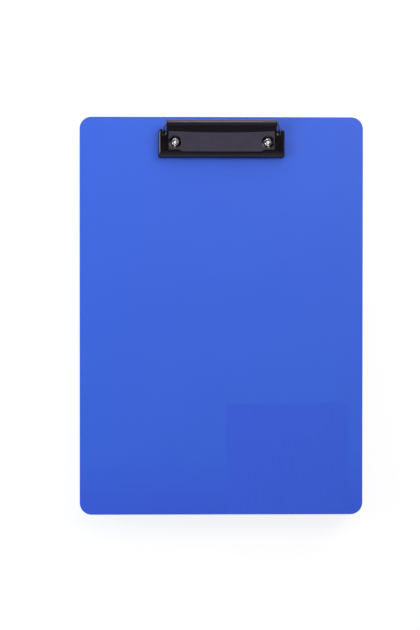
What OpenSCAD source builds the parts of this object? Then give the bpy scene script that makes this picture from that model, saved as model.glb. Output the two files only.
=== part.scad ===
// Storage clipboard box: a shallow A4 tray whose hinged cover is the writing board. It lies on its
// back with the cover up: X runs across, +Y towards the clip, +Z up. Lengths are in millimetres.

/* [Board] */
// Width of the writing board, across
board_w = 225; // [216:1:250]
// Length of the writing board
board_l = 316; // [305:1:360]
// Corner radius of the writing board
corner_r = 9.5; // [6:0.5:14]
// Thickness of the writing board
board_t = 3; // [2.4:0.1:4]

/* [Tray] */
// Height of the tray walls
tray_h = 22.2; // [21:0.1:40]
// Thickness of the tray walls
wall_t = 2.2; // [1.8:0.1:2.6]
// Thickness of the tray floor
floor_t = 2; // [1.4:0.1:3]
// How far the board reaches past the tray wall
overhang = 1.2; // [0.8:0.1:1.6]
// Corner radius inside the tray
inner_r = 4; // [2:0.5:6]
// Seam between the tray rim and the board
seam = 0.3; // [0.2:0.1:0.6]
// Width of the pen channel at the foot of the tray
pen_w = 9.8; // [8:0.1:14]
// Thickness of the wall between pens and paper
divider_t = 1.2; // [1:0.1:2]
// Height of that wall above the tray floor
divider_h = 9; // [6:0.5:14]

/* [Cover rim] */
// Thickness of the locating rim under the board
rim_t = 1.4; // [1:0.1:2]
// Depth of the locating rim
rim_h = 3; // [2:0.1:4]
// Gap between the rim and the tray walls
rim_gap = 0.5; // [0.4:0.1:1]
// How far the rim stands off the wall on the hinge side
rim_setback = 3; // [2.6:0.1:5]

/* [Hinge] */
// Outer diameter of a hinge knuckle
knuckle_d = 5; // [4.4:0.1:5.4]
// Diameter of the hinge pins
hinge_pin_d = 2.2; // [1.6:0.1:2.6]
// Length of each tray knuckle
tray_knuckle_l = 10; // [8:0.5:16]
// Length of the cover knuckle between them
cover_knuckle_l = 12; // [8:0.5:20]
// Distance from each end of the board to the middle of a hinge
hinge_from_end = 58; // [30:1:90]
// Free gap around the knuckles
knuckle_gap = 0.3; // [0.2:0.05:0.5]
// How far the barrels stay inside the board's left edge
hinge_inset = 0.2; // [0.1:0.05:0.6]
// Gap between the tray wall and the board edge that swings past it
swing_gap = 0.4; // [0.3:0.05:0.8]

/* [Latch] */
// Width of the latch
latch_w = 36; // [24:1:50]
// Length of the latch below its pin
latch_l = 11.8; // [10.5:0.1:14]
// Thickness of the latch plate
latch_t = 1.8; // [1.4:0.1:2]
// Outer diameter of the latch barrel
latch_barrel_d = 3.8; // [3.4:0.1:4]
// Diameter of the latch pin
latch_pin_d = 1.5; // [1.2:0.1:1.8]
// Thickness of each ear that holds the latch pin
latch_ear_t = 3; // [2:0.1:4]
// Thickness of the tray wall behind the latch
pocket_wall_t = 1.6; // [1.2:0.1:2]
// How far the keeper ledge stands out behind the latch
keeper_out = 1.2; // [0.8:0.1:1.4]
// Height of the keeper ledge
keeper_h = 1.5; // [1:0.1:2]
// How far the latch hook reaches under the ledge, from the latch plate
hook_out = 1.9; // [1.7:0.1:2]
// Height of the latch hook
hook_h = 1.6; // [1:0.1:2]
// Height of the hook above the latch's lower edge
hook_up = 1.2; // [0.8:0.1:2]
// How far the hook stops short of the latch's ends
hook_inset = 3; // [2:0.5:5]
// Gap under the latch for a fingernail
nail_gap = 3; // [2:0.1:3.6]

/* [Clip] */
// Width of the clip jaw
jaw_w = 100; // [90:1:120]
// Thickness of the pressed steel of the jaw
sheet_t = 0.8; // [0.6:0.05:1]
// Thickness of the clip base plate
base_t = 0.8; // [0.6:0.05:1]
// Distance from the board's top edge to the back of the base plate
base_from_edge = 11; // [9.6:0.1:12.4]
// Gap between the jaw lip and the base plate
base_gap = 2; // [1:0.1:4]
// Width of steel left round the pivot hole of an ear
ear_rim = 1; // [0.8:0.1:1.2]
// Distance from the board's top edge to the jaw lip
lip_from_edge = 32.6; // [32:0.1:36]
// Distance from the board's top edge to the fold of the lever
fold_from_edge = 11.8; // [11.4:0.1:12.4]
// Distance from the board's top edge to the middle of the lever curl
curl_from_edge = 4.8; // [4.4:0.1:5.2]
// Distance from the board's top edge to the jaw pivot
pivot_from_edge = 14.6; // [14.4:0.1:15.4]
// Distance from the board's top edge to the back end of the side flanges
flange_from_edge = 11.6; // [10.6:0.1:11.8]
// Radius of the side flanges' lower back corner, which dips as the jaw opens
flange_corner_r = 1.4; // [1.2:0.1:1.8]
// Distance from the board's top edge to the front of the notches for the spring arms
notch_from_edge = 14.3; // [13.6:0.1:14.8]
// Distance from the board's top edge to the rivets
rivet_from_edge = 20.3; // [20:0.1:21]
// Height of the jaw's top face above the board
jaw_h = 6.2; // [6.1:0.1:7]
// Height of the jaw pivot above the board
pivot_h = 3.1; // [3:0.05:3.2]
// Height of the middle of the lever curl above the board
curl_h = 9.7; // [9.2:0.1:10.4]
// Outer radius of the bend at the jaw lip
lip_r = 4.8; // [4:0.1:5.2]
// Outer radius of the bends at the jaw sides
side_r = 2.2; // [1.8:0.1:2.6]
// Corner radius of the jaw seen from above
jaw_corner_r = 1.8; // [1.2:0.1:2]
// How far each end of the lever stands in from the side of the jaw
lever_inset = 6.3; // [6.1:0.1:9]
// Outer diameter of the lever curl
curl_d = 4.4; // [4.2:0.1:4.6]
// Gap under the jaw lip when the clip is shut
lip_gap = 0.2; // [0.1:0.05:0.4]
// Height of the side flanges' lower edge above the board
flange_gap = 1; // [0.9:0.1:1.6]
// Diameter of the holes over the rivets
access_d = 10; // [8:0.1:11]
// Diameter of the pivot rod
rod_d = 1.8; // [1.6:0.1:2]

/* [Spring and rivets] */
// Diameter of the spring wire
wire_d = 1.1; // [0.9:0.05:1.2]
// Turns in each spring
spring_turns = 4; // [2:1:5]
// Distance from the end of the lever to the middle of the spring arm
arm_gap = 2.2; // [1.2:0.1:2.4]
// Length of the spring foot along the base plate
foot_l = 7; // [5:0.5:9]
// Gap between a spring and the ear beside it
spring_gap = 0.25; // [0.15:0.05:0.35]
// Radius of the bend that leads a spring arm into the curl
arm_bend_r = 4; // [3:0.1:4.5]
// Length of the straight tip inside the curl
arm_tip_l = 1.5; // [1:0.1:4]
// Distance from the side of the jaw to the middle of a rivet
rivet_inset = 13.25; // [13:0.25:20]
// Diameter of the rivet's rolled head
rivet_head_d = 6.4; // [6:0.1:7]
// Outer diameter of the rivet's barrel
rivet_d = 4; // [3.6:0.1:4.2]
// Diameter of the rivet's hollow
rivet_bore_d = 2.7; // [2:0.1:2.9]
// Thickness of the rivet's flat head
rivet_foot_t = 0.7; // [0.5:0.1:1]
// Outer diameter of the backing washers
washer_d = 10; // [8:0.1:12]
// Thickness of the backing washers
washer_t = 0.8; // [0.5:0.1:1]

/* [Clearances] */
// Radial clearance of a pin in its hole
pin_gap = 0.05; // [0.03:0.01:0.08]
// Clearance between plastic pieces that pass each other
free_gap = 0.3; // [0.25:0.05:0.4]
// Height of the keeper ledge over the latch hook
keeper_gap = 0.2; // [0.15:0.05:0.4]
// How far each pin ends inside its hole
pin_recess = 0.3; // [0.1:0.1:0.8]

/* [Hidden] */
$fn = 96;
past = 1; // how far a cutting tool runs past the face it cuts

// colours
board_blue = "#446adc";
black_plastic = "#1b1b1e";
lacquered_steel = "#2a282d";
bare_steel = "#b9bcc0";

// heights
board_z = tray_h + seam;
face_z = board_z + board_t;
top_y = board_l / 2;

// hinge: the axis lies under the board's left edge, far enough in for the barrels to stay hidden
hinge_edge = knuckle_d / 2 + hinge_inset;
hinge_x = -board_w / 2 + hinge_edge;
hinge_z = board_z - knuckle_gap - knuckle_d / 2;
hinge_y = board_l / 2 - hinge_from_end;
hinge_l = 2 * tray_knuckle_l + cover_knuckle_l + 2 * knuckle_gap;

// tray: the left wall stands clear of the board's edge, which swings past it as the cover opens
tray_left = hinge_x + hinge_edge + swing_gap;
tray_right = board_w / 2 - overhang;
tray_y = top_y - overhang;
tray_r = corner_r - overhang;
bay_left = tray_left + wall_t;
bay_right = tray_right - wall_t;
bay_y = tray_y - wall_t;
divider_y = -bay_y + pen_w;

// latch: its barrel hangs under the board's right edge, in a pocket of the tray wall
barrel_r = latch_barrel_d / 2;
latch_x = board_w / 2 - free_gap - barrel_r;
latch_z = board_z - free_gap - barrel_r;
latch_back = board_w / 2 - free_gap - latch_t;
latch_bottom = latch_z - latch_l;
pocket_x = latch_x - barrel_r - free_gap;
pocket_half = latch_w / 2 + free_gap + latch_ear_t + 2 * free_gap;
pocket_floor = latch_bottom - nail_gap;
hook_bottom = latch_bottom + hook_up;
keeper_z = hook_bottom + hook_h + keeper_gap;

// clip, in its own frame: x across, y from the board's foot, z up from the writing face
lip_y = top_y - lip_from_edge;
fold_y = top_y - fold_from_edge;
curl_y = top_y - curl_from_edge;
pivot_y = top_y - pivot_from_edge;
rivet_y = top_y - rivet_from_edge;
rivet_x = jaw_w / 2 - rivet_inset;
lever_x = jaw_w / 2 - lever_inset;
curl_mid_r = (curl_d - sheet_t) / 2;
lever_run = [curl_y - fold_y, curl_h - jaw_h + sheet_t / 2];
lever_slope = atan2(lever_run[1], lever_run[0]) - asin(curl_mid_r / norm(lever_run));
lever_l = sqrt(pow(norm(lever_run), 2) - pow(curl_mid_r, 2));
mitre = sheet_t / 2 * tan(lever_slope / 2);
rod_r = rod_d / 2;
ear_r = rod_r + ear_rim;
arm_x = lever_x + arm_gap;
ear_x = arm_x + wire_d / 2 + spring_gap;
curl_slot = [205, 235, 262]; // angles across the slit between the curl's free edge and the lever

// spring: close turns round the rod, an arm that hooks into the lever's curl and a foot
coil_r = rod_r + 2 * pin_gap + wire_d / 2;
turn_pitch = wire_d + 0.05;
arm_run = [curl_y - pivot_y, curl_h - pivot_h];
arm_slope = atan2(arm_run[1], arm_run[0]) + asin(coil_r / norm(arm_run));
arm_l = sqrt(pow(norm(arm_run), 2) - pow(coil_r, 2));

// ---- small helpers ----

// rectangle between two corners with rounded corners
module rounded_rect(low, high, r) {
    translate(low + [r, 0]) square(high - low - [2 * r, 0]);
    translate(low + [0, r]) square(high - low - [0, 2 * r]);
    for (x = [low[0] + r, high[0] - r], y = [low[1] + r, high[1] - r]) translate([x, y]) circle(r);
}

// box between two corners
module block(low, high) {
    translate(low) cube(high - low);
}

// a Y-Z outline extruded across, between two x values
module across(from, to) {
    translate([from, 0, 0]) rotate([90, 0, 90]) linear_extrude(to - from) children();
}

// an X-Z outline extruded along the board, between two y values
module along(from, to) {
    translate([0, to, 0]) rotate([90, 0, 0]) linear_extrude(to - from) children();
}

// cylinder along the board, centred on a point
module rod_along(at, r, l) {
    translate(at) rotate([90, 0, 0]) cylinder(r = r, h = l, center = true);
}

module on_face() {
    translate([0, 0, face_z]) children();
}

// ---- tray ----

// one knuckle of the tray, joined to its left wall
module tray_knuckle(y) {
    difference() {
        union() {
            rod_along([hinge_x, y, hinge_z], knuckle_d / 2, tray_knuckle_l);
            block([hinge_x, y - tray_knuckle_l / 2, hinge_z - knuckle_d / 2],
                [tray_left + wall_t / 2, y + tray_knuckle_l / 2, hinge_z]);
        }
        rod_along([hinge_x, y, hinge_z], hinge_pin_d / 2 + pin_gap, tray_knuckle_l + 2 * past);
    }
}

module tray_walls() {
    difference() {
        linear_extrude(tray_h) rounded_rect([tray_left, -tray_y], [tray_right, tray_y], tray_r);
        difference() {
            translate([0, 0, floor_t]) linear_extrude(tray_h)
                rounded_rect([bay_left, -bay_y], [bay_right, bay_y], inner_r);
            // wall behind the latch
            block([pocket_x - pocket_wall_t, -pocket_half - pocket_wall_t, 0],
                [tray_right, pocket_half + pocket_wall_t, 2 * tray_h]);
            // wall between pens and paper
            block([-board_w, divider_y, 0], [board_w, divider_y + divider_t, floor_t + divider_h]);
        }
        // pocket for the latch
        block([pocket_x, -pocket_half, pocket_floor], [board_w, pocket_half, 2 * tray_h]);
    }
}

module storage_tray() {
    color(board_blue) union() {
        tray_walls();
        // keeper ledge for the latch hook
        block([pocket_x - pocket_wall_t / 2, hook_inset - latch_w / 2, keeper_z],
            [pocket_x + keeper_out, latch_w / 2 - hook_inset, keeper_z + keeper_h]);
        for (side = [-1, 1], end = [-1, 1])
            tray_knuckle(side * hinge_y + end * (hinge_l - tray_knuckle_l) / 2);
    }
}

// ---- cover ----

module cover_knuckle(y) {
    difference() {
        union() {
            rod_along([hinge_x, y, hinge_z], knuckle_d / 2, cover_knuckle_l);
            block([hinge_x - knuckle_d / 2, y - cover_knuckle_l / 2, hinge_z],
                [hinge_x + knuckle_d / 2, y + cover_knuckle_l / 2, board_z + board_t / 2]);
        }
        rod_along([hinge_x, y, hinge_z], hinge_pin_d / 2 + pin_gap, cover_knuckle_l + 2 * past);
    }
}

// locating rim, which stops short of the latch pocket
module cover_rim() {
    low = [bay_left + rim_setback, -bay_y + rim_gap];
    high = [bay_right - rim_gap, bay_y - rim_gap];
    translate([0, 0, board_z - rim_h]) difference() {
        linear_extrude(rim_h + board_t / 2) rounded_rect(low, high, inner_r);
        translate([0, 0, -past]) linear_extrude(rim_h + board_t + past)
            rounded_rect(low + [rim_t, rim_t], high - [rim_t, rim_t], inner_r - rim_t / 2);
        block([0, -pocket_half - pocket_wall_t - rim_gap, -past],
            [board_w, pocket_half + pocket_wall_t + rim_gap, rim_h + board_t]);
    }
}

module latch_ear(y) {
    difference() {
        union() {
            rod_along([latch_x, y, latch_z], barrel_r, latch_ear_t);
            block([latch_x - barrel_r, y - latch_ear_t / 2, latch_z],
                [latch_x + barrel_r, y + latch_ear_t / 2, board_z + board_t / 2]);
        }
        rod_along([latch_x, y, latch_z], latch_pin_d / 2 + pin_gap, latch_ear_t + 2 * past);
    }
}

module front_cover() {
    color(board_blue) difference() {
        union() {
            translate([0, 0, board_z]) linear_extrude(board_t)
                rounded_rect([-board_w / 2, -top_y], [board_w / 2, top_y], corner_r);
            cover_rim();
            for (side = [-1, 1]) {
                cover_knuckle(side * hinge_y);
                latch_ear(side * (latch_w / 2 + free_gap + latch_ear_t / 2));
            }
        }
        for (side = [-1, 1]) translate([side * rivet_x, rivet_y, board_z - past])
            cylinder(r = rivet_d / 2 + pin_gap, h = board_t + 2 * past);
    }
}

module hinge_pin(y) {
    color(bare_steel) rod_along([hinge_x, y, hinge_z], hinge_pin_d / 2,
        hinge_l - 2 * pin_recess);
}

module upper_hinge_pin() { hinge_pin(hinge_y); }
module lower_hinge_pin() { hinge_pin(-hinge_y); }

// ---- latch ----

module latch() {
    half = latch_w / 2;
    color(black_plastic) difference() {
        union() {
            rod_along([latch_x, 0, latch_z], barrel_r, latch_w);
            block([latch_back, -half, latch_bottom], [latch_back + latch_t, half, latch_z]);
            block([latch_back - hook_out, hook_inset - half, hook_bottom],
                [latch_back + latch_t / 2, half - hook_inset, hook_bottom + hook_h]);
        }
        rod_along([latch_x, 0, latch_z], latch_pin_d / 2 + pin_gap, latch_w + 2 * past);
    }
}

module latch_pin() {
    color(bare_steel) rod_along([latch_x, 0, latch_z], latch_pin_d / 2,
        latch_w + 2 * (free_gap + latch_ear_t - pin_recess));
}

// ---- clip ----

// Y-Z outline of the jaw with its lip rounded; thick shrinks it to the inner face
module lip_outline(thick) {
    r = lip_r - thick;
    top = jaw_h - thick;
    front = lip_y + thick;
    translate([front + r, -past]) square([top_y - front - r, top + past]);
    translate([front, -past]) square([r, top - r + past]);
    intersection() {
        translate([front + r, top - r]) circle(r);
        translate([front, top - r]) square(r);
    }
}

// X-Z outline of the jaw with its sides rounded
module side_outline(thick) {
    r = side_r - thick;
    top = jaw_h - thick;
    half = jaw_w / 2 - thick;
    translate([-half + r, -past]) square([2 * (half - r), top + past]);
    translate([-half, -past]) square([2 * half, top - r + past]);
    for (side = [-1, 1]) translate([side * (half - r), top - r]) circle(r);
}

// the pressed pan of the jaw, filled; thick shrinks it to the inner face
module pan(thick) {
    half = jaw_w / 2 - thick;
    intersection() {
        across(-half, half) lip_outline(thick);
        along(lip_y, top_y) side_outline(thick);
        translate([0, 0, -past]) linear_extrude(jaw_h + 2 * past)
            rounded_rect([-half, lip_y + thick], [half, top_y + lip_from_edge], jaw_corner_r - thick);
    }
}

module lever_outline() {
    translate([fold_y, jaw_h - sheet_t / 2]) rotate(lever_slope)
        translate([-mitre, -sheet_t / 2]) square([lever_l + mitre, sheet_t]);
    translate([curl_y, curl_h]) difference() {
        circle(curl_d / 2);
        circle(curl_d / 2 - sheet_t);
        polygon([[0, 0], for (a = curl_slot) curl_d * [cos(a), sin(a)]]);
    }
}

module clip_jaw() {
    notch_out = jaw_w / 2 - side_r;
    flange_y = top_y - flange_from_edge;
    beyond = top_y + lip_from_edge;
    color(lacquered_steel) on_face() difference() {
        union() {
            difference() {
                pan(0);
                pan(sheet_t);
                block([-jaw_w, lip_y - past, -2 * past], [jaw_w, top_y, lip_gap]);
                block([-jaw_w, lip_y + lip_r, -2 * past], [jaw_w, top_y, flange_gap]);
                block([-notch_out, fold_y + mitre, -past], [notch_out, beyond, jaw_h + past]);
                block([-jaw_w, flange_y, -past], [jaw_w, beyond, jaw_h + past]);
                across(-jaw_w, jaw_w) difference() {
                    translate([flange_y - flange_corner_r, flange_gap - past])
                        square(flange_corner_r + past);
                    translate([flange_y - flange_corner_r, flange_gap + flange_corner_r])
                        circle(flange_corner_r);
                }
                // notches that let the spring arms out
                for (side = [-1, 1]) scale([side, 1, 1])
                    block([lever_x, top_y - notch_from_edge, pivot_h],
                        [notch_out, beyond, jaw_h + past]);
            }
            across(-lever_x, lever_x) lever_outline();
        }
        for (side = [-1, 1]) translate([side * rivet_x, rivet_y, 0])
            cylinder(r = access_d / 2, h = 2 * jaw_h);
        translate([0, pivot_y, pivot_h]) rotate([0, 90, 0])
            cylinder(r = rod_r + pin_gap, h = 2 * jaw_w, center = true);
    }
}

module clip_base_plate() {
    front = lip_y + sheet_t + base_gap;
    back = top_y - base_from_edge;
    outer = ear_x + base_t;
    color(lacquered_steel) on_face() difference() {
        union() {
            block([-ear_x, front, 0], [ear_x, back, base_t]);
            for (side = [-1, 1]) scale([side, 1, 1]) {
                block([ear_x - past, pivot_y - ear_r, 0], [outer, pivot_y + ear_r, base_t]);
                block([ear_x, pivot_y - ear_r, 0], [outer, pivot_y + ear_r, pivot_h]);
                translate([ear_x, pivot_y, pivot_h]) rotate([0, 90, 0])
                    cylinder(r = ear_r, h = base_t);
            }
        }
        for (side = [-1, 1]) translate([side * rivet_x, rivet_y, -past])
            cylinder(r = rivet_d / 2 + pin_gap, h = base_t + 2 * past);
        translate([0, pivot_y, pivot_h]) rotate([0, 90, 0])
            cylinder(r = rod_r + pin_gap, h = 2 * jaw_w, center = true);
    }
}

module clip_pivot_rod() {
    color(bare_steel) on_face() translate([0, pivot_y, pivot_h]) rotate([0, 90, 0])
        cylinder(r = rod_r, h = jaw_w, center = true);
}

// part of a wire ring round the pivot rod, between two angles counted from its lowest point
module wire_ring(from, to) {
    rotate([0, 90, 0]) rotate([0, 0, from]) wire_bend(coil_r, to - from);
}

module wire_bend(r, angle) {
    rotate_extrude(angle = angle) translate([r, 0]) circle(wire_d / 2, $fn = 24);
}

module wire(l) {
    rotate([-90, 0, 0]) cylinder(r = wire_d / 2, h = l, $fn = 24);
}

// the right-hand spring; its turns are rings joined by a thin sleeve
module spring() {
    foot_x = arm_x - (spring_turns - 1) * turn_pitch;
    sleeve_r = rod_r + pin_gap;
    color(bare_steel) on_face() translate([0, pivot_y, pivot_h]) {
        for (turn = [1 : 1 : spring_turns - 2])
            translate([arm_x - turn * turn_pitch, 0, 0]) wire_ring(0, 360);
        rotate([0, 90, 0]) difference() {
            translate([0, 0, foot_x]) cylinder(r = coil_r - wire_d / 4, h = arm_x - foot_x);
            translate([0, 0, foot_x - past]) cylinder(r = sleeve_r, h = arm_x - foot_x + 2 * past);
        }
        // foot, forward along the base plate
        translate([foot_x, 0, 0]) {
            wire_ring(0, 270);
            translate([0, -foot_l, -coil_r]) wire(foot_l);
        }
        // arm, back and up into the curl of the lever
        translate([arm_x, 0, 0]) rotate([arm_slope, 0, 0]) {
            wire_ring(90, 360);
            translate([0, 0, -coil_r]) wire(arm_l - arm_bend_r);
            translate([-arm_bend_r, arm_l - arm_bend_r, -coil_r]) {
                wire_bend(arm_bend_r, 90);
                translate([0, arm_bend_r, 0]) rotate([0, 0, 90]) wire(arm_tip_l);
            }
        }
    }
}

module right_spring() { spring(); }
module left_spring() { mirror([1, 0, 0]) spring(); }

// hollow rivet: flat head inside the box, rolled ring on the base plate
module rivet(side) {
    head_r = rivet_head_d / 2;
    ring_r = (head_r - rivet_bore_d / 2) / 2;
    foot = -board_t - washer_t;
    color(bare_steel) on_face() translate([side * rivet_x, rivet_y, 0]) difference() {
        union() {
            translate([0, 0, foot - rivet_foot_t]) cylinder(r = head_r, h = rivet_foot_t);
            translate([0, 0, foot - rivet_foot_t / 2])
                cylinder(r = rivet_d / 2, h = base_t + ring_r / 2 - foot + rivet_foot_t / 2);
            rotate_extrude() intersection() {
                translate([head_r - ring_r, base_t]) circle(ring_r);
                translate([0, base_t]) square(2 * head_r);
            }
        }
        translate([0, 0, foot]) cylinder(r = rivet_bore_d / 2, h = 4 * board_t);
    }
}

module left_rivet() { rivet(-1); }
module right_rivet() { rivet(1); }

module washer(side) {
    color(bare_steel) translate([side * rivet_x, rivet_y, board_z - washer_t]) difference() {
        cylinder(r = washer_d / 2, h = washer_t);
        translate([0, 0, -past]) cylinder(r = rivet_d / 2 + pin_gap, h = washer_t + 2 * past);
    }
}

module left_rivet_washer() { washer(-1); }
module right_rivet_washer() { washer(1); }

storage_tray();
front_cover();
upper_hinge_pin();
lower_hinge_pin();
latch();
latch_pin();
clip_base_plate();
clip_jaw();
clip_pivot_rod();
left_spring();
right_spring();
left_rivet();
right_rivet();
left_rivet_washer();
right_rivet_washer();
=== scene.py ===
import bmesh
import bpy
import math
from mathutils import Matrix, Vector


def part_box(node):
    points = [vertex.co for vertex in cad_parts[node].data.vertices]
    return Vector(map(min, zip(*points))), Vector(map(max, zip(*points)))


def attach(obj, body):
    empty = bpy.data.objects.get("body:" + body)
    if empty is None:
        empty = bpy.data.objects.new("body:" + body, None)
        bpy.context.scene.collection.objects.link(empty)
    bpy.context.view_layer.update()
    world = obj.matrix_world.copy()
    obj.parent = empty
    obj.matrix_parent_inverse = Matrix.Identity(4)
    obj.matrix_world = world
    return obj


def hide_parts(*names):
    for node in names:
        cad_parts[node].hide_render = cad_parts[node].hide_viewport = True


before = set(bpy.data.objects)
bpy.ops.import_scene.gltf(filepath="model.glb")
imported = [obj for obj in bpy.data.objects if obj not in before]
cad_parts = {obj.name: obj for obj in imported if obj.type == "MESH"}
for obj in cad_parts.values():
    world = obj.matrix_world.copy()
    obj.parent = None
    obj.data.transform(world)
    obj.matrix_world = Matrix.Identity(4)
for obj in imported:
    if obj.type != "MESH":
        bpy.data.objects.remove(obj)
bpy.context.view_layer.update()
mm = 0.001
print("frame loaded:", len(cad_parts), "nodes")

# outlines of the solids, in mm
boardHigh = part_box("front_cover")[1] / mm
clipLow, clipHigh = (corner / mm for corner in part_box("clip_jaw"))
rivetLow, rivetHigh = (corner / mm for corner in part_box("right_rivet"))
rodLow, rodHigh = (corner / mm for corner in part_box("clip_pivot_rod"))
faceZ = boardHigh.z
rivetX = (rivetLow.x + rivetHigh.x) / 2
rivetY = (rivetLow.y + rivetHigh.y) / 2
rodY = (rodLow.y + rodHigh.y) / 2
rodZ = (rodLow.z + rodHigh.z) / 2
rodR = (rodHigh.z - rodLow.z) / 2

# ---- camera, lamps and floor ----

cameraSetup = {
    "foot": (-42.7, 25.2),  # mm, the point of the board under the lens
    "distance": 1500,  # mm, from the board's face
    "turn": (-0.9311, -1.2853, 0.0301),  # degrees about x, y and z, away from straight down
    "lens": 107.95,  # mm
    "sensor": 36,  # mm, along the frame's long side
    "sees": (0.05, 50),  # m, nearest and farthest
}

lampSetup = {
    # place, way it faces, width and height in mm; level 1 is the brightness of white paper
    "leftSoftbox": {"place": (-1000, 100, 725), "faces": (1, 0, 0), "size": (700, 450), "level": 7.3,
                    "colour": "#DFF3FF"},
    "leftLowBox": {"place": (-1000, 100, 250), "faces": (1, 0, 0), "size": (700, 500), "level": 2.73,
                   "colour": "#E3EFFF"},
    "rearScreen": {"place": (0, 1200, 475), "faces": (0, -1, 0), "size": (2000, 950), "level": 2.88,
                   "colour": "#FFFAEC"},
    "rightRearSoftbox": {"place": (1000, 825, 1075), "faces": (-1, 0, 0), "size": (750, 1150), "level": 6.9,
                         "colour": "#FFF1E6"},
    "ceilingStrip": {"place": (50, 925, 1650), "faces": (0, 0, -1), "size": (220, 550), "level": 11.0,
                     "colour": "#FFF3F0"},
    "ceilingCorner": {"place": (700, 790, 1650), "faces": (0, 0, -1), "size": (600, 820), "level": 2.4,
                      "colour": "#FFDDD2"},
    "overheadPanel": {"place": (50, 250, 1650), "faces": (0, 0, -1), "size": (340, 260), "level": 1.74,
                      "colour": "#DDE0FF"},
    "ceilingFront": {"place": (0, -650, 1650), "faces": (0, 0, -1), "size": (1600, 900), "level": 0.16,
                     "colour": "#FFFFFF"},
    "frontFill": {"place": (0, -1000, 825), "faces": (0, 1, 0), "size": (2000, 1650), "level": 0.4,
                  "colour": "#EDEEFF"},
}

worldSetup = {
    "horizon": 0.1,  # level of the studio's walls
    "ceiling": 0.05,
    "wallTop": (0.6, 0.8),  # height of the change, as the sine of the elevation
    "backdropTop": (0.08, 0.2),  # up to here gloss and glass see the white backdrop that the camera sees
}

floorSetup = {
    "radius": 6000,  # mm
    "segments": 96,
    "under": 0.2,  # mm, below the foot of the object
    "colour": "#F7F7F6",
    "glow": 1.15,  # what the camera sees where nothing casts a shadow
    "glowShare": (0.72, 1.0),  # near the object and far from it
    "glowFrom": (300, 900),  # mm from the middle, where that changes
    "gapGlow": (1.5, 0.55),  # reach in mm, and level, of the light that shows the underside from below
}


def toLinear(hexColour, alpha=1.0):
    parts = [int(hexColour[i:i + 2], 16) / 255 for i in (1, 3, 5)]
    return [p / 12.92 if p <= 0.04045 else ((p + 0.055) / 1.055) ** 2.4 for p in parts] + [alpha]


def addNode(tree, kind, inputs=None, **settings):
    node = tree.nodes.new(kind)
    for name, value in settings.items():
        setattr(node, name, value)
    for name, value in (inputs or {}).items():
        if isinstance(value, bpy.types.NodeSocket):
            tree.links.new(value, node.inputs[name])
        else:
            node.inputs[name].default_value = value
    return node


def product(tree, a, b):
    return addNode(tree, "ShaderNodeMath", {0: a, 1: b}, operation="MULTIPLY").outputs[0]


def link(obj):
    bpy.context.scene.collection.objects.link(obj)
    return obj


def makeCamera(setup):
    data = bpy.data.cameras.new("camera")
    data.lens = setup["lens"]
    data.sensor_width = setup["sensor"]
    data.clip_start, data.clip_end = setup["sees"]
    camera = link(bpy.data.objects.new("camera", data))
    camera.location = (setup["foot"][0] * mm, setup["foot"][1] * mm, (faceZ + setup["distance"]) * mm)
    camera.rotation_euler = [math.radians(angle) for angle in setup["turn"]]
    bpy.context.scene.camera = camera


def makeLamp(name, setup):
    data = bpy.data.lights.new(name, "AREA")
    data.shape = "RECTANGLE"
    data.size, data.size_y = (side * mm for side in setup["size"])
    data.energy = setup["level"] * math.pi * data.size * data.size_y
    data.color = toLinear(setup["colour"])[:3]
    lamp = link(bpy.data.objects.new(name, data))
    lamp.location = Vector(setup["place"]) * mm
    lamp.rotation_mode = "QUATERNION"
    lamp.rotation_quaternion = Vector(setup["faces"]).to_track_quat("-Z", "Y")
    lamp.visible_camera = False


def makeWorld(setup):
    world = bpy.data.worlds.new("studio")
    bpy.context.scene.world = world
    world.use_nodes = True
    tree = world.node_tree
    tree.nodes.clear()
    ray = addNode(tree, "ShaderNodeLightPath")
    where = addNode(tree, "ShaderNodeTexCoord")
    height = addNode(tree, "ShaderNodeSeparateXYZ", {0: where.outputs["Generated"]})
    low, high = setup["wallTop"]
    fade = addNode(tree, "ShaderNodeMapRange", {
        "Value": height.outputs["Z"], "From Min": low, "From Max": high,
        "To Min": setup["horizon"], "To Max": setup["ceiling"]}, interpolation_type="SMOOTHSTEP")
    low, high = setup["backdropTop"]
    backdrop = addNode(tree, "ShaderNodeMapRange", {
        "Value": height.outputs["Z"], "From Min": low, "From Max": high,
        "To Min": 1.0, "To Max": 0.0}, interpolation_type="SMOOTHSTEP")
    shiny = addNode(tree, "ShaderNodeMath", {
        0: ray.outputs["Is Glossy Ray"], 1: ray.outputs["Is Transmission Ray"]}, operation="MAXIMUM")
    mirrored = product(tree, shiny.outputs[0], backdrop.outputs["Result"])
    white = addNode(tree, "ShaderNodeMath", {
        0: ray.outputs["Is Camera Ray"], 1: mirrored}, operation="MAXIMUM")
    seen = addNode(tree, "ShaderNodeMix", {
        "Factor": white.outputs[0], "A": fade.outputs["Result"], "B": 1.0})
    light = addNode(tree, "ShaderNodeBackground", {
        "Color": (1, 1, 1, 1), "Strength": seen.outputs["Result"]})
    addNode(tree, "ShaderNodeOutputWorld", {"Surface": light.outputs[0]})


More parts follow.
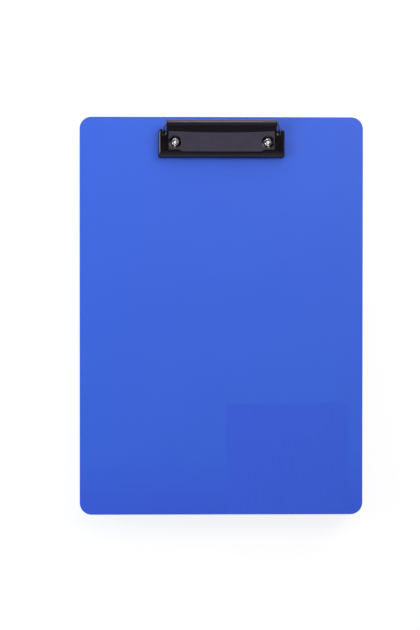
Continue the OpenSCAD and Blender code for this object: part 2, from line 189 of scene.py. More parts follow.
def makeFloor(setup):
    mesh = bpy.data.meshes.new("floor")
    bm = bmesh.new()
    bmesh.ops.create_circle(bm, cap_ends=True, segments=setup["segments"], radius=setup["radius"] * mm,
                            matrix=Matrix.Translation((0, 0, -setup["under"] * mm)))
    bm.to_mesh(mesh)
    bm.free()
    floor = link(bpy.data.objects.new("floor", mesh))
    material = bpy.data.materials.new("matt white studio paper")
    material.use_nodes = True
    tree = material.node_tree
    tree.nodes.clear()
    ray = addNode(tree, "ShaderNodeLightPath")
    away = addNode(tree, "ShaderNodeVectorMath", {
        0: addNode(tree, "ShaderNodeTexCoord").outputs["Object"]}, operation="LENGTH")
    near, far = (side * mm for side in setup["glowFrom"])
    fade = addNode(tree, "ShaderNodeMapRange", {
        "Value": away.outputs["Value"], "From Min": near, "From Max": far,
        "To Min": setup["glowShare"][0], "To Max": setup["glowShare"][1]}, interpolation_type="SMOOTHSTEP")
    share = product(tree, ray.outputs["Is Camera Ray"], fade.outputs["Result"])
    paper = addNode(tree, "ShaderNodeBsdfDiffuse", {"Color": toLinear(setup["colour"])})
    glow = addNode(tree, "ShaderNodeEmission", {"Strength": setup["glow"]})
    upper = addNode(tree, "ShaderNodeMixShader", {
        0: share, 1: paper.outputs[0], 2: glow.outputs[0]})
    reach, level = setup["gapGlow"]
    close = addNode(tree, "ShaderNodeMath", {
        0: ray.outputs["Ray Length"], 1: reach * mm}, operation="LESS_THAN")
    gapLight = addNode(tree, "ShaderNodeEmission", {"Strength": level})
    upper = addNode(tree, "ShaderNodeMixShader", {
        0: close.outputs[0], 1: upper.outputs[0], 2: gapLight.outputs[0]})
    below = addNode(tree, "ShaderNodeNewGeometry")
    sheet = addNode(tree, "ShaderNodeMixShader", {
        0: below.outputs["Backfacing"], 1: upper.outputs[0],
        2: addNode(tree, "ShaderNodeBsdfTransparent").outputs[0]})
    addNode(tree, "ShaderNodeOutputMaterial", {"Surface": sheet.outputs[0]})
    mesh.materials.append(material)


makeCamera(cameraSetup)
for lampName, lampSizes in lampSetup.items():
    makeLamp(lampName, lampSizes)
makeWorld(worldSetup)
makeFloor(floorSetup)
bpy.context.scene.view_settings.view_transform = "Standard"
print("camera, lamps and floor made")

# ---- materials ----


def newMaterial(name, metallic=0.0, ior=None):
    material = bpy.data.materials.new(name)
    material.use_nodes = True
    tree = material.node_tree
    tree.nodes.clear()
    shader = addNode(tree, "ShaderNodeBsdfPrincipled", {"Metallic": metallic})
    if ior:
        shader.inputs["IOR"].default_value = ior
    addNode(tree, "ShaderNodeOutputMaterial", {"Surface": shader.outputs[0]})
    return material, tree, shader


def objectPlace(tree, scale=(1, 1, 1)):
    where = addNode(tree, "ShaderNodeTexCoord")
    return addNode(tree, "ShaderNodeMapping", {
        "Vector": where.outputs["Object"], "Scale": scale}).outputs[0]


def noiseOf(tree, place, size, detail=3.0, roughness=0.55):
    # size is the width of one blot, in mm
    return addNode(tree, "ShaderNodeTexNoise", {
        "Vector": place, "Scale": 1 / (size * mm), "Detail": detail,
        "Roughness": roughness}, normalize=True).outputs["Fac"]


def blended(tree, share, low, high):
    # a colour between two hex colours
    return addNode(tree, "ShaderNodeMix", {
        "Factor": share, "A": toLinear(low), "B": toLinear(high)}, data_type="RGBA").outputs["Result"]


def surfaced(tree, shader, colour, gloss, relief):
    # colour, then (pattern, roughness from and to), then (pattern, depth in mm)
    tree.links.new(colour, shader.inputs["Base Color"])
    pattern, (low, high), *span = gloss
    inputs = {"Value": pattern, "To Min": low, "To Max": high}
    if span:
        inputs["From Min"], inputs["From Max"] = span[0]
    tree.links.new(addNode(tree, "ShaderNodeMapRange", inputs).outputs["Result"], shader.inputs["Roughness"])
    pattern, depth = relief
    bump = addNode(tree, "ShaderNodeBump", {"Height": pattern, "Distance": depth * mm, "Strength": 1.0})
    tree.links.new(bump.outputs[0], shader.inputs["Normal"])


plasticFinish = {
    "colour": ("#3462DD", "#3665E1"),
    "blot": 60,  # mm, slow change of the colour
    "grain": 0.55,  # mm, width of the moulded grain, drawn coarser than real so that it shows
    "grainDepth": 0.05,  # mm, also more than real
    "roughness": (0.38, 0.46),
    "ior": 1.49,
}

boardFinish = {
    **plasticFinish,
    "footShadeTint": "#F9EDFC",  # painted shade: the face is drawn a trace darker and more violet towards the foot
    "footFrom": (-100, -160),  # mm along y
    "patchTint": "#FFF4FF",  # a barely darker rectangle in the face, open towards the foot
    # mm, from outside to inside; the last one keeps it off the cover's inner side
    "patchSides": (("X", 3.2, 4.7), ("X", 101.6, 100.1), ("Y", -69.0, -70.5), ("Z", 23.2, 24.2)),
    "streakTint": "#F7F7FC",  # fine upright streaks in the rectangle
    "streak": (1.1, 22, 22),  # mm along x, y and z
    "streakFrom": (0.35, 0.65),  # part of the noise that makes the streaks
}


def stepAlong(tree, value, start, end):
    # 0 at the start and 1 at the end, both in mm
    step = addNode(tree, "ShaderNodeMapRange", {
        "Value": value, "From Min": start * mm, "From Max": end * mm}, interpolation_type="SMOOTHSTEP")
    return step.outputs["Result"]


def tinted(tree, colour, share, tint):
    mixed = addNode(tree, "ShaderNodeMix", {"Factor": share}, data_type="RGBA", blend_type="MULTIPLY")
    tree.links.new(colour, mixed.inputs["A"])
    mixed.inputs["B"].default_value = toLinear(tint)
    return mixed.outputs["Result"]


# the rectangle's tint and streaks, and a painted shade that darkens the face towards the foot outside the
# rectangle
def boardMarksAndShade(tree, colour, finish):
    where = addNode(tree, "ShaderNodeSeparateXYZ", {0: objectPlace(tree)})
    inside = 1.0
    for axis, start, end in finish["patchSides"]:
        inside = product(tree, inside, stepAlong(tree, where.outputs[axis], start, end))
    outside = addNode(tree, "ShaderNodeMath", {0: 1.0, 1: inside}, operation="SUBTRACT").outputs[0]
    # painted shade, growing towards the foot
    foot = stepAlong(tree, where.outputs["Y"], *finish["footFrom"])
    colour = tinted(tree, colour, product(tree, foot, outside), finish["footShadeTint"])
    colour = tinted(tree, colour, inside, finish["patchTint"])
    marks = noiseOf(tree, objectPlace(tree, [1 / side for side in finish["streak"]]), 1.0)
    low, high = finish["streakFrom"]
    marks = addNode(tree, "ShaderNodeMapRange", {"Value": marks, "From Min": low, "From Max": high})
    return tinted(tree, colour, product(tree, inside, marks.outputs["Result"]), finish["streakTint"])


def mouldedPolypropylene(name, finish):
    # coloured polypropylene from a spark-eroded mould: satin, with a fine dry grain
    material, tree, shader = newMaterial(name, ior=finish["ior"])
    place = objectPlace(tree)
    slow = noiseOf(tree, place, finish["blot"])
    grain = noiseOf(tree, place, finish["grain"])
    colour = blended(tree, slow, *finish["colour"])
    # the board alone gets the rectangle and the painted shade towards the foot
    if "footShadeTint" in finish:
        colour = boardMarksAndShade(tree, colour, finish)
    surfaced(tree, shader, colour, (grain, finish["roughness"]), (grain, finish["grainDepth"]))
    return material


lacquerFinish = {
    "colour": ("#09080B", "#0D0C10"),
    "roughness": (0.1, 0.16),
    "sheen": (1.0, 0.88, 1.0, 1.0),  # the lacquer's faint purple cast
    "peel": 1.6,  # mm, width of the orange peel
    "peelDepth": 0.0008,  # mm
    "dust": 6.0,  # mm, width of the slightly duller spots
    "dustFrom": (0.35, 0.75),  # part of the noise that dulls
    "ior": 1.52,
}


def blackLacquer(finish):
    # stoved black lacquer over pressed steel: deep gloss with a trace of orange peel
    material, tree, shader = newMaterial("stoved black lacquer", ior=finish["ior"])
    place = objectPlace(tree)
    peel = noiseOf(tree, place, finish["peel"], detail=1.0)
    dust = noiseOf(tree, place, finish["dust"], detail=6.0)
    shader.inputs["Specular Tint"].default_value = finish["sheen"]
    surfaced(tree, shader, blended(tree, dust, *finish["colour"]),
             (dust, finish["roughness"], finish["dustFrom"]), (peel, finish["peelDepth"]))
    return material


def steelLike(name, colours, roughness, streak, depth):
    # streak is the size of the marks along x, y and z, and depth is theirs, all in mm
    material, tree, shader = newMaterial(name, metallic=1.0)
    marks = noiseOf(tree, objectPlace(tree, [1 / side for side in streak]), 1.0, detail=4.0)
    surfaced(tree, shader, blended(tree, marks, *colours), (marks, roughness), (marks, depth))
    return material


acetalFinish = {
    "colour": ("#141416", "#1D1D20"),
    "grain": 0.4,  # mm
    "grainDepth": 0.004,  # mm
    "roughness": (0.32, 0.5),
    "ior": 1.48,
}


def blackAcetal(finish):
    # moulded acetal: black, waxy and slightly shiny
    material, tree, shader = newMaterial("moulded black acetal", ior=finish["ior"])
    grain = noiseOf(tree, objectPlace(tree), finish["grain"])
    surfaced(tree, shader, blended(tree, grain, *finish["colour"]),
             (grain, finish["roughness"]), (grain, finish["grainDepth"]))
    return material


boardPlastic = mouldedPolypropylene("moulded blue polypropylene board", boardFinish)
trayPlastic = mouldedPolypropylene("moulded blue polypropylene", plasticFinish)
clipLacquer = blackLacquer(lacquerFinish)
latchPlastic = blackAcetal(acetalFinish)
# nickel plate over a formed rivet: bright and a little worn
rivetNickel = steelLike("bright nickel plate", colours=("#C8C6C5", "#DEDCDB"), roughness=(0.05, 0.12),
                        streak=(0.5, 0.5, 0.5), depth=0.001)
# oil-tempered spring wire: dark grey, with the die's marks along the wire
wireSteel = steelLike("oil-tempered spring wire", colours=("#625F58", "#7A766F"), roughness=(0.3, 0.44),
                      streak=(0.3, 3, 3), depth=0.003)
# black zinc plate over a drawn rod: dark, with a faint sheen
blackZinc = steelLike("black zinc plate", colours=("#1B1B1E", "#2A2A2E"), roughness=(0.24, 0.38),
                      streak=(0.3, 4, 0.3), depth=0.002)
# drawn and cut steel rod, ground smooth
pinSteel = steelLike("drawn steel pin", colours=("#A3A4A6", "#C2C3C5"), roughness=(0.2, 0.35),
                     streak=(0.3, 4, 0.3), depth=0.002)
print("materials made")

# ---- mesh helpers ----


def finishPiece(obj, body, slotName, *nodes):
    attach(obj, body)
    if nodes:
        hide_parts(*nodes)
    return obj


def applied(obj):
    # the modified mesh becomes the plain mesh
    graph = bpy.context.evaluated_depsgraph_get()
    mesh = bpy.data.meshes.new_from_object(obj.evaluated_get(graph))
    old = obj.data
    obj.modifiers.clear()
    obj.data = mesh
    bpy.data.meshes.remove(old)
    return obj


def smooth(obj, angle):
    obj.data.shade_smooth()
    obj.data.set_sharp_from_angle(angle=math.radians(angle))


def evenNormals(obj, weight=50):
    # large faces lead the shading of the edges beside them
    weighted = obj.modifiers.new("weightedNormals", "WEIGHTED_NORMAL")
    weighted.keep_sharp = True
    weighted.weight = weight
    return applied(obj)


def bevelled(obj, width, steps=2, angle=35, isMain=None, fine=0.3):
    # rounds the outward edges that turn by more than the angle, in degrees
    # where isMain is given, the other edges get this fine a share of the width
    bm = bmesh.new()
    bm.from_mesh(obj.data)
    weight = bm.edges.layers.float.new("bevel_weight_edge")
    for edge in bm.edges:
        turned = len(edge.link_faces) == 2 and edge.calc_face_angle() > math.radians(angle)
        full = 1.0 if isMain is None or isMain(edge) else fine
        edge[weight] = full if turned and edge.is_convex else 0.0
    bm.to_mesh(obj.data)
    bm.free()
    low = [min(v.co[i] for v in obj.data.vertices) for i in range(3)]
    high = [max(v.co[i] for v in obj.data.vertices) for i in range(3)]
    bevel = obj.modifiers.new("roundedEdges", "BEVEL")
    bevel.width = width * mm
    bevel.segments = steps
    bevel.limit_method = "WEIGHT"
    bevel.use_clamp_overlap = False
    applied(obj)
    for vertex in obj.data.vertices:
        vertex.co = [min(high[i], max(low[i], vertex.co[i])) for i in range(3)]  # stays inside its box
    smooth(obj, 55)
    return evenNormals(obj, 80)


def softened(node, name, material, s, isMain=None):
    # a copy of a CAD node with its edges rounded
    mesh = bpy.data.meshes.new(name)
    bm = bmesh.new()
    bm.from_mesh(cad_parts[node].data)
    bmesh.ops.remove_doubles(bm, verts=bm.verts, dist=0.0005 * mm)
    bmesh.ops.dissolve_limit(bm, angle_limit=math.radians(0.4), verts=bm.verts, edges=bm.edges)
    bm.to_mesh(mesh)
    bm.free()
    mesh.materials.append(material)
    obj = link(bpy.data.objects.new(name, mesh))
    return bevelled(obj, s["rounding"], s["steps"], isMain=isMain)


def between(low, high, count):
    return [low + (high - low) * i / count for i in range(count + 1)]


def lathe(name, profile, steps=48, middleX=0):
    # a closed outline of (radius, height) in mm, turned about the upright line through (middleX, rivetY)
    # a ring of one point closes the outline on that line
    bm = bmesh.new()
    rings = []
    for r, z in profile:
        turn = [2 * math.pi * i / steps for i in range(steps)] if r > 1e-6 else [0]
        rings.append([bm.verts.new(((middleX + r * math.cos(a)) * mm, (rivetY + r * math.sin(a)) * mm,
                                    (z + faceZ) * mm)) for a in turn])
    closed = len(rings[0]) > 1
    for lower, upper in zip(rings, rings[1:] + (rings[:1] if closed else [])):
        for i in range(steps):
            k = (i + 1) % steps
            if len(lower) == 1:
                bm.faces.new((lower[0], upper[k], upper[i]))
            elif len(upper) == 1:
                bm.faces.new((lower[i], lower[k], upper[0]))
            else:
                bm.faces.new((lower[i], lower[k], upper[k], upper[i]))
    bmesh.ops.recalc_face_normals(bm, faces=bm.faces)
    mesh = bpy.data.meshes.new(name)
    bm.to_mesh(mesh)
    bm.free()
    return link(bpy.data.objects.new(name, mesh))


def cutAway(obj, cutters):
    for cutter in cutters:
        cut = obj.modifiers.new("cut", "BOOLEAN")
        cut.operation = "DIFFERENCE"
        cut.solver = "EXACT"
        cut.object = cutter
        applied(obj)
        bpy.data.objects.remove(cutter)


# ---- cover and tray ----

coverSetup = {
    "rounding": 0.5,  # mm, of the face's outline; all other edges get a share of it
    "steps": 3,
    "margin": 12,  # mm from the sides, where the outline and its round corners lie
}

traySetup = {
    "rounding": 0.6,  # mm, of the foot; all other edges get a share of it
    "steps": 3,
}


def middleOf(edge):
    return (edge.verts[0].co + edge.verts[1].co) / 2 / mm


def isBoardOutline(edge):
    # the face's own edge, with its round corners, but not the rivets' holes
    middle = middleOf(edge)
    margin = coverSetup["margin"]
    onTop = min(vertex.co.z for vertex in edge.verts) / mm > faceZ - 0.1
    return onTop and (abs(middle.x) > boardHigh.x - margin or abs(middle.y) > boardHigh.y - margin)


def isTrayFoot(edge):
    return max(vertex.co.z for vertex in edge.verts) / mm < 0.1


cover = softened("front_cover", "writing_board", boardPlastic, coverSetup, isBoardOutline)
finishPiece(cover, "cover", "blue_board", "front_cover")
tray = softened("storage_tray", "box_tray", trayPlastic, traySetup, isTrayFoot)
finishPiece(tray, "tray", "blue_plastic", "storage_tray")
print("cover and tray made")

# ---- hinge and latch ----

hingePinSetup = {"rounding": 0.25, "steps": 2}  # mm
latchSetup = {"rounding": 0.2, "steps": 3}
latchRodSetup = {"rounding": 0.15, "steps": 2}

for side in ("upper", "lower"):
    pin = softened(side + "_hinge_pin", side + "_pin", pinSteel, hingePinSetup)
    finishPiece(pin, "tray", "plated_steel", side + "_hinge_pin")
latchPiece = softened("latch", "side_latch", latchPlastic, latchSetup)
finishPiece(latchPiece, "latch", "black_plastic", "latch")
latchRod = softened("latch_pin", "latch_rod", pinSteel, latchRodSetup)
finishPiece(latchRod, "cover", "plated_steel", "latch_pin")
print("hinge and latch made")

# ---- clip ----

baseSetup = {
    "rounding": 0.15,  # mm, as all sizes from here on
    "steps": 2,
    "dimple": (6.4, 3.1),  # outer and inner radius of the shallow dish round each rivet
    "dimpleDepth": 0.3,
    "thickness": 0.8,
    "cutAbove": 1,  # how far the cutter reaches past the plate
}


def makeBasePlate(s):
    plate = softened("clip_base_plate", "base_plate", clipLacquer, s)
    outer, inner = s["dimple"]
    top, low = s["thickness"], s["thickness"] - s["dimpleDepth"]
    above = top + s["cutAbove"]
    cone = [(0, low), (inner, low), (outer, top), (outer, above), (0, above)]
    cutAway(plate, [lathe("cone", cone, 64, side * rivetX) for side in (-1, 1)])
    smooth(plate, 30)
    return plate


basePlate = makeBasePlate(baseSetup)
finishPiece(basePlate, "cover", "black_lacquer", "clip_base_plate")
pivotRodSetup = {"rounding": 0.2, "steps": 2}
pivotRod = softened("clip_pivot_rod", "pivot_rod", blackZinc, pivotRodSetup)
finishPiece(pivotRod, "cover", "plated_steel", "clip_pivot_rod")

jawSetup = {
    "sheet": 0.8,
    "top": 6.2,  # above the board's face
    "sideBend": 2.7,
    "lipBend": 4.8,
    "lipBendAtEnds": 6.4,  # how far the bend reaches back near the jaw's ends
    "endsFrom": (31.0, 34.5),  # where the lip's bend widens
    "corner": 1.8,  # seen from above
    "crease": 41.9,  # from here outwards the plate slopes down
    "creaseSoft": 0.25,  # half the width over which it bends
    "slope": 3.4,  # degrees
    "lipGap": 0.2,
    "flangeGap": 1.0,
    "flangeEnd": 147.8,
    "flangeTurn": 2.4,  # radius, seen from above, with which the flange turns inwards at its end
    "flangeTurnShare": 0.92,  # 1 would turn it square to its run
    "flangeCorner": (4.0, 2.3),  # how far forward and how high the flange's rear corner is rounded
    "leftReach": (0.3, 3),  # the left flange stands out this much further, eased in over this width
    "cornerDrop": 1.5,  # round the corner, where the lower edge drops from the flange's height to the lip's
    "notchFront": 142.9,  # notches beside the lever, for the springs' arms
    "notchOuter": 46.6,
    "leverHalf": 43.7,
    "fold": 145.4,
    "foldBow": 1.2,  # how much further back the fold is at the lever's ends
    "foldEdge": (0.3, 0.03),  # rounding of the fold: reach to each side and rise in the middle
    "curlAt": (152.9, 9.69),
    "curlInner": 1.4,
    "curlReach": 2.0,  # how far the curl's inside reaches forward of its middle
    "curlSquare": 0.5,  # 1 is round, less flattens the top of the curl
    "curlEnd": 187,  # degrees
    "holeAcross": 9.3,  # at its narrowest
    "rimEdge": 0.2,  # rounding of the sheet's cut edges
    "plainRimFrom": (47.4, 145),  # x and y from where the cut edge stays square
    "rodPlay": 0.06,  # of the pivot rod in its holes
    "rodCut": 60,  # how far to each side the holes for the rod are cut
    "holeEdge": (0.5, 0.5),  # the punch draws the sheet in this far from the hole, and this deep
}


def smoothStep(value, low, high):
    share = min(1, max(0, (value - low) / (high - low)))
    return share * share * (3 - 2 * share)


class SheetBuilder:
    # gathers patches of points into one open sheet, in mm above the board's face
    def __init__(self):
        self.bm = bmesh.new()

    def addPatch(self, rows):
        made = [[self.bm.verts.new((p[0] * mm, p[1] * mm, (p[2] + faceZ) * mm)) for p in row] for row in rows]
        for lower, upper in zip(made, made[1:]):
            for a, b, c, d in zip(lower, lower[1:], upper[1:], upper):
                self.bm.faces.new((a, b, c, d))

    def weld(self):
        bmesh.ops.remove_doubles(self.bm, verts=self.bm.verts, dist=0.002 * mm)
        bmesh.ops.dissolve_degenerate(self.bm, edges=self.bm.edges, dist=0.001 * mm)
        bmesh.ops.recalc_face_normals(self.bm, faces=self.bm.faces)


def jawSheet(s):
    halfWidth = clipHigh.x
    lipY = clipLow.y
    plateHalf = halfWidth - s["sideBend"]
    bendSteps, dropSteps = 10, 3
    slope = math.tan(math.radians(s["slope"]))
    curlY, curlZ = s["curlAt"]

    def plateTop(x):
        past = abs(x) - s["crease"]
        return s["top"] - slope * 0.5 * (past + math.hypot(past, s["creaseSoft"]))

    def bendReach(x):
        more = s["lipBendAtEnds"] - s["lipBend"]
        return s["lipBend"] + more * smoothStep(abs(x), *s["endsFrom"])

    def foldY(x):
        return s["fold"] + s["foldBow"] * min(1, abs(x) / s["leverHalf"]) ** 2

    def flangeBottom(y):
        run, height = s["flangeCorner"]
        past = min(1, max(0, (y - s["flangeEnd"]) / run + 1))
        return s["flangeGap"] + height * (1 - math.sqrt(1 - past ** 2))

    def turnIn(y):
        past = max(0, y - s["flangeEnd"] + s["flangeTurn"])
        return s["flangeTurn"] - math.sqrt(max(0, s["flangeTurn"] ** 2 - (s["flangeTurnShare"] * past) ** 2))

    def deepAt(v, reach):
        # height of the bend round the corner, from the side's to the lip's
        return s["sideBend"] + (s["lipBend"] - s["sideBend"]) * smoothStep(v / reach, 0, 1)

    # columns of points, closer together where the lip's bend widens and at the crease
    inner = between(0, 30, 8) + [31, 32, 33, 34, 35, 37, 39, 40.6, 41.2, 41.6, 41.8, 42, 42.3, 42.8]
    inner += [s["leverHalf"]]
    leverX = [-x for x in reversed(inner[1:])] + inner
    marginX = between(s["leverHalf"], s["notchOuter"], 3) + between(s["notchOuter"], plateHalf, 2)[1:]
    sheet = SheetBuilder()

    # plate between the lip's bend and the notches
    allX = [-x for x in reversed(marginX[1:])] + leverX + marginX[1:]
    front = [[(x, lipY + bendReach(x) + (s["notchFront"] - lipY - bendReach(x)) * t, plateTop(x))
              for x in allX] for t in between(0, 1, 12)]
    sheet.addPatch(front)

    # lever, from the notches over the fold into the curl
    def leverPath(x):
        startZ = plateTop(x)
        edge, lift = s["foldEdge"]
        points = [(y, startZ) for y in between(s["notchFront"], foldY(x) - edge, 2)]
        run = (curlY - foldY(x), curlZ - startZ)
        reach = math.hypot(*run)
        rise = math.atan2(run[1], run[0]) - math.asin(s["curlInner"] / reach)
        length = math.sqrt(reach ** 2 - s["curlInner"] ** 2)
        points += [(foldY(x), startZ + lift)]
        points += [(foldY(x) + d * math.cos(rise), startZ + d * math.sin(rise))
                   for d in [edge] + between(1, length, 5)]
        first, last = math.degrees(rise) - 90, s["curlEnd"]
        points += [curlPoint(a) for a in between(first, last, 32)[1:]]
        return points

    def curlPoint(angle):
        # round behind, flatter and longer on top
        a = math.radians(angle)
        if angle <= 90:
            return curlY + s["curlInner"] * math.cos(a), curlZ + s["curlInner"] * math.sin(a)
        up = math.copysign(abs(math.sin(a)) ** s["curlSquare"], math.sin(a))
        return curlY - s["curlReach"] * abs(math.cos(a)) ** s["curlSquare"], curlZ + s["curlInner"] * up

    paths = {x: leverPath(x) for x in leverX}
    count = len(paths[0])
    sheet.addPatch([[(x, *paths[x][i]) for x in leverX] for i in range(count)])

    # lip
    lipRows = []
    for angle in between(0, 90, bendSteps):
        a = math.radians(angle)
        lipRows.append([(x, lipY + bendReach(x) * (1 - math.sin(a)),
                         plateTop(x) - s["lipBend"] * (1 - math.cos(a))) for x in allX])
    for t in between(0, 1, dropSteps)[1:]:
        lipRows.append([(x, lipY, (plateTop(x) - s["lipBend"]) * (1 - t) + s["lipGap"] * t) for x in allX])
    sheet.addPatch(lipRows)

    for side in (-1, 1):
        poleX, poleY, poleZ = plateHalf, lipY + bendReach(plateHalf), plateTop(plateHalf)
        # shoulder behind the spring's notch
        backY = between(s["notchFront"], s["flangeEnd"], 12)
        sheet.addPatch([[(side * x, y, plateTop(x)) for x in marginX if x > s["notchOuter"] - 0.01]
                        for y in backY])
        # side bend and flange
        sideY = between(poleY, s["notchFront"], 12) + backY[1:]
        rows = []
        for angle in between(0, 90, bendSteps):
            a = math.radians(angle)
            rows.append([(side * (plateHalf + (s["sideBend"] - turnIn(y)) * math.sin(a)), y,
                          poleZ - s["sideBend"] * (1 - math.cos(a))) for y in sideY])
        for t in between(0, 1, dropSteps)[1:]:
            rows.append([(side * (halfWidth - turnIn(y)), y,
                          (poleZ - s["sideBend"]) * (1 - t) + flangeBottom(y) * t) for y in sideY])
        sheet.addPatch(rows)
        # corner, as a fan of bends from one point
        reachX, reachY, r = s["sideBend"], bendReach(plateHalf), s["corner"]
        outline = [(reachX, v) for v in between(0, reachY - r, 5)]
        outline += [(reachX - r + r * math.cos(math.radians(a)), reachY - r + r * math.sin(math.radians(a)))
                    for a in between(0, 90, 6)[1:]]
        outline += [(0, reachY)]
        corner = []
        for angle in between(0, 90, bendSteps):
            a = math.radians(angle)
            row = []
            for u, v in outline:
                row.append((side * (poleX + u * math.sin(a)), poleY - v * math.sin(a),
                            poleZ - deepAt(v, reachY) * (1 - math.cos(a))))
            corner.append(row)
        for t in between(0, 1, dropSteps)[1:]:
            row = []
            for u, v in outline:
                low = s["flangeGap"] + (s["lipGap"] - s["flangeGap"]) * smoothStep(v, 0, s["cornerDrop"])
                row.append((side * (poleX + u), poleY - v, (poleZ - deepAt(v, reachY)) * (1 - t) + low * t))
            corner.append(row)
        sheet.addPatch(corner)
    sheet.weld()
    reach, ease = s["leftReach"]
    for vertex in sheet.bm.verts:
        vertex.co.x -= reach * mm * smoothStep(-vertex.co.x / mm, plateHalf - ease, plateHalf)
    return sheet.bm


def holeProfile(radius, wide, deep, high):
    # a drill with a flared shoulder, so that it leaves a rounded edge at the height high
    turn = [math.radians(a) for a in between(0, 90, 9)]
    below, above = high - 4, high + 2
    profile = [(0, below), (radius, below)]
    profile += [(radius + wide * (1 - math.cos(a)), high - deep * (1 - math.sin(a))) for a in turn]
    return profile + [(radius + wide, above), (0, above)]


def sharpenHoles(obj, radius):
    # the plate stays flat in the light right up to the drawn-in rim of each hole
    bm = bmesh.new()
    bm.from_mesh(obj.data)

    def away(vertex):
        return min(math.hypot(vertex.co.x / mm - side * rivetX, vertex.co.y / mm - rivetY)
                   for side in (-1, 1))

    rim = {face for face in bm.faces if all(away(vertex) < radius for vertex in face.verts)}
    for edge in bm.edges:
        if sum(face in rim for face in edge.link_faces) == 1:
            edge.smooth = False
    bm.to_mesh(obj.data)
    bm.free()


def isOpenRim(edge):
    # all but the flanges' rear ends, which turn in too tightly to be rounded
    middle = middleOf(edge)
    return abs(middle.x) < jawSetup["plainRimFrom"][0] or middle.y < jawSetup["plainRimFrom"][1]


def makeJaw(s):
    mesh = bpy.data.meshes.new("pressed_jaw")
    bm = jawSheet(s)
    up = max(bm.faces, key=lambda face: face.calc_area())
    if up.normal.z < 0:
        bmesh.ops.reverse_faces(bm, faces=bm.faces)
    bm.to_mesh(mesh)
    bm.free()
    mesh.materials.append(clipLacquer)
    jaw = link(bpy.data.objects.new("pressed_jaw", mesh))
    wall = jaw.modifiers.new("sheet", "SOLIDIFY")
    wall.thickness = s["sheet"] * mm
    wall.offset = -1
    wall.use_even_offset = True
    wall.use_quality_normals = True
    applied(jaw)
    bevelled(jaw, s["rimEdge"], 3, 40, isOpenRim, 0)
    wide, deep = s["holeEdge"]
    drill = holeProfile(s["holeAcross"] / 2, wide, deep, s["top"] - 0.002)
    cutters = [lathe("drill", drill, 64, side * rivetX) for side in (-1, 1)]
    rodHole, half = rodR + s["rodPlay"], s["rodCut"]
    rodDrill = lathe("drill", [(0, -half), (rodHole, -half), (rodHole, half), (0, half)], 32)
    rodDrill.data.transform(Matrix.Translation((0, -rivetY * mm, -faceZ * mm)))
    rodDrill.data.transform(Matrix.Rotation(math.pi / 2, 4, "Y"))
    rodDrill.data.transform(Matrix.Translation((0, rodY * mm, rodZ * mm)))
    cutAway(jaw, cutters + [rodDrill])
    smooth(jaw, 40)
    sharpenHoles(jaw, s["holeAcross"] / 2 + wide + 0.01)
    return evenNormals(jaw)


jawPiece = makeJaw(jawSetup)
finishPiece(jawPiece, "jaw", "black_lacquer", "clip_jaw")
print("jaw made:", len(jawPiece.data.polygons), "faces")

springSetup = {
    "wire": 1.3,  # across
    "turns": 2,  # close together, then splayed out to the arm
    "pitch": 1.32,
    "innermost": 42.1,  # x of the first turn
    "arm": 45.4,  # x of the arm
    "coilAround": 3.2,  # diameter of the turns, at the middle of the wire
    "foot": 7,
    "footDrop": 0.2,  # the foot slopes down to rest on the plate
    "armBend": 5,
    "armTip": 1.5,
    "turnPoints": 20,
    "low": 0.06,  # the coils hang this far below the rod's middle
    "splay": (270, 50),  # degrees before the end where the turns part, and where they have parted
    "sides": 14,  # of the wire
}


def springPath(s, side):
    # foot, close turns, a splayed half turn, and an arm that hooks into the curl
    r = s["coilAround"] / 2
    curlY, curlZ = jawSetup["curlAt"]
    midZ = rodZ - faceZ - s["low"]
    partFrom, partTo = s["splay"]
    run = (curlY - rodY, curlZ - midZ)
    rise = math.atan2(run[1], run[0]) + math.asin(r / math.hypot(*run))
    length = math.sqrt(math.hypot(*run) ** 2 - r ** 2)
    points = [(s["innermost"], rodY - s["foot"] * t, midZ - r - s["footDrop"] * t)
              for t in (1, 0.6, 0.3, 0.1)]
    full = s["turns"] * 360 + math.degrees(rise)
    close = s["turns"] * 360 - partFrom
    lastClose = s["innermost"] + close / 360 * s["pitch"]
    steps = int(full / 360 * s["turnPoints"])
    for angle in between(0, full, steps):
        x = s["innermost"] + min(angle, close) / 360 * s["pitch"]
        x += (s["arm"] - lastClose) * smoothStep(angle, close, full - partTo)
        a = math.radians(angle - 90)
        points.append((x, rodY + r * math.cos(a), midZ + r * math.sin(a)))
    start = Vector(points[-1])
    along = Vector((0, math.cos(rise), math.sin(rise)))
    straight = length - s["armBend"]
    points += [tuple(start + along * straight * t) for t in (0.25, 0.5, 0.75)]
    corner = start + along * straight - Vector((s["armBend"], 0, 0))
    for angle in between(0, 90, 12):
        a = math.radians(angle)
        points.append(tuple(corner + Vector((s["armBend"] * math.cos(a), 0, 0))
                            + along * s["armBend"] * math.sin(a)))
    points.append(tuple(Vector(points[-1]) - Vector((s["armTip"], 0, 0))))
    return [(side * x, y, z) for x, y, z in points]


def newTree(name, sizes):
    # a node group with a geometry input and output and named number inputs
    tree = bpy.data.node_groups.new(name, "GeometryNodeTree")
    tree.interface.new_socket("Geometry", in_out="INPUT", socket_type="NodeSocketGeometry")
    tree.interface.new_socket("Geometry", in_out="OUTPUT", socket_type="NodeSocketGeometry")
    for label, kind in sizes.items():
        tree.interface.new_socket(label, in_out="INPUT", socket_type="NodeSocket" + kind)
    return tree, addNode(tree, "NodeGroupInput"), addNode(tree, "NodeGroupOutput")


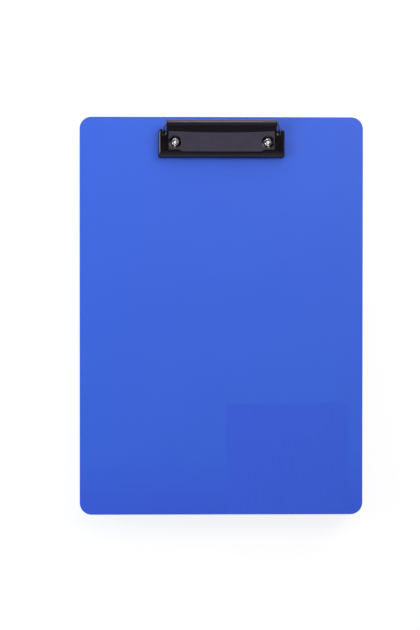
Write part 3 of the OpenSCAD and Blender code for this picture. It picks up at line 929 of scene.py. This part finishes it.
def wireTree():
    tree, source, result = newTree("wire along a path", {
        "Radius": "Float", "Sides": "Int", "Material": "Material"})
    path = addNode(tree, "GeometryNodeMeshToCurve", {"Mesh": source.outputs["Geometry"]})
    ring = addNode(tree, "GeometryNodeCurvePrimitiveCircle", {
        "Resolution": source.outputs["Sides"], "Radius": source.outputs["Radius"]})
    tube = addNode(tree, "GeometryNodeCurveToMesh", {
        "Curve": path.outputs["Curve"], "Profile Curve": ring.outputs["Curve"], "Fill Caps": True})
    plain = addNode(tree, "GeometryNodeRealizeInstances", {"Geometry": tube.outputs["Mesh"]})
    dressed = addNode(tree, "GeometryNodeSetMaterial", {
        "Geometry": plain.outputs["Geometry"], "Material": source.outputs["Material"]})
    tree.links.new(dressed.outputs["Geometry"], result.inputs["Geometry"])
    return tree


def rowTree():
    # the same small part again at an even spacing across
    tree, source, result = newTree("parts in a row", {
        "Count": "Int", "Spacing": "Float", "Material": "Material"})
    step = addNode(tree, "ShaderNodeCombineXYZ", {"X": source.outputs["Spacing"]})
    line = addNode(tree, "GeometryNodeMeshLine", {
        "Count": source.outputs["Count"], "Offset": step.outputs["Vector"]}, mode="OFFSET")
    copies = addNode(tree, "GeometryNodeInstanceOnPoints", {
        "Points": line.outputs["Mesh"], "Instance": source.outputs["Geometry"]})
    plain = addNode(tree, "GeometryNodeRealizeInstances", {"Geometry": copies.outputs["Instances"]})
    dressed = addNode(tree, "GeometryNodeSetMaterial", {
        "Geometry": plain.outputs["Geometry"], "Material": source.outputs["Material"]})
    tree.links.new(dressed.outputs["Geometry"], result.inputs["Geometry"])
    return tree


def grown(obj, tree, values):
    # runs the tree on the object with these inputs and keeps the result as a plain mesh
    nodes = obj.modifiers.new("nodes", "NODES")
    nodes.node_group = tree
    for socket in tree.interface.items_tree:
        if socket.in_out == "INPUT" and socket.name in values:
            nodes[socket.identifier] = values[socket.name]
    return applied(obj)


def chain(name, points):
    mesh = bpy.data.meshes.new(name)
    mesh.from_pydata([(x * mm, y * mm, (z + faceZ) * mm) for x, y, z in points],
                     [(i, i + 1) for i in range(len(points) - 1)], [])
    return link(bpy.data.objects.new(name, mesh))


wireNodes = wireTree()
for side, node in ((-1, "left_spring"), (1, "right_spring")):
    springPiece = chain(node + "_wire", springPath(springSetup, side))
    grown(springPiece, wireNodes, {
        "Radius": springSetup["wire"] / 2 * mm, "Sides": springSetup["sides"], "Material": wireSteel})
    smooth(springPiece, 40)
    finishPiece(springPiece, "jaw", "spring_wire", node)
print("springs wound")

rivetSetup = {
    "head": 3.2,  # radius, as the next two
    "barrel": 2.0,
    "bore": 1.75,
    "base": 0.72,  # the rolled ring sits on the base plate
    "boreFloor": (1.3, 0.3),  # radius, and height above the board's face
    "cup": 0.03,  # how far the floor of the bore is hollowed
    "footTop": -3.8,
    "footThickness": 0.7,
    "footEdge": 0.2,
    "washer": (5, 2.05, 0.8),  # outer and inner radius and thickness
    "washerEdge": 0.12,
}


def rivetProfile(s):
    roll = (s["head"] - s["bore"]) / 2
    middle = s["head"] - roll
    foot = s["footTop"] - s["footThickness"]
    edge = s["footEdge"]
    profile = [(0, foot), (s["head"] - edge, foot), (s["head"], foot + edge), (s["head"], s["footTop"])]
    profile += [(s["barrel"], s["footTop"]), (s["barrel"], s["base"])]
    profile += [(middle + roll * math.cos(math.radians(a)), s["base"] + roll * math.sin(math.radians(a)))
                for a in between(0, 180, 14)]
    rim, low = s["boreFloor"]
    profile += [(rim + 0.03, low + 0.04), (rim, low)]
    return profile + [(rim * t, low - s["cup"] * (1 - t * t)) for t in (0.8, 0.6, 0.4, 0.2, 0)]


def washerProfile(s):
    outer, inner, thick = s["washer"]
    low, high, edge = s["footTop"], s["footTop"] + thick, s["washerEdge"]
    outline = [(inner, low), (outer - edge, low), (outer, low + edge)]
    return outline + [(outer, high - edge), (outer - edge, high), (inner, high)]


rowNodes = rowTree()
rivetRows = (
    ("clip_rivets", rivetProfile(rivetSetup), ("left_rivet", "right_rivet")),
    ("rivet_washers", washerProfile(rivetSetup), ("left_rivet_washer", "right_rivet_washer")),
)
for name, profile, nodes in rivetRows:
    pair = lathe(name, profile)
    pair.data.materials.append(rivetNickel)
    pair.data.transform(Matrix.Translation((-rivetX * mm, 0, 0)))
    grown(pair, rowNodes, {"Count": 2, "Spacing": 2 * rivetX * mm, "Material": rivetNickel})
    smooth(pair, 35)
    finishPiece(pair, "cover", "plated_steel", *nodes)
print("rivets and washers set")
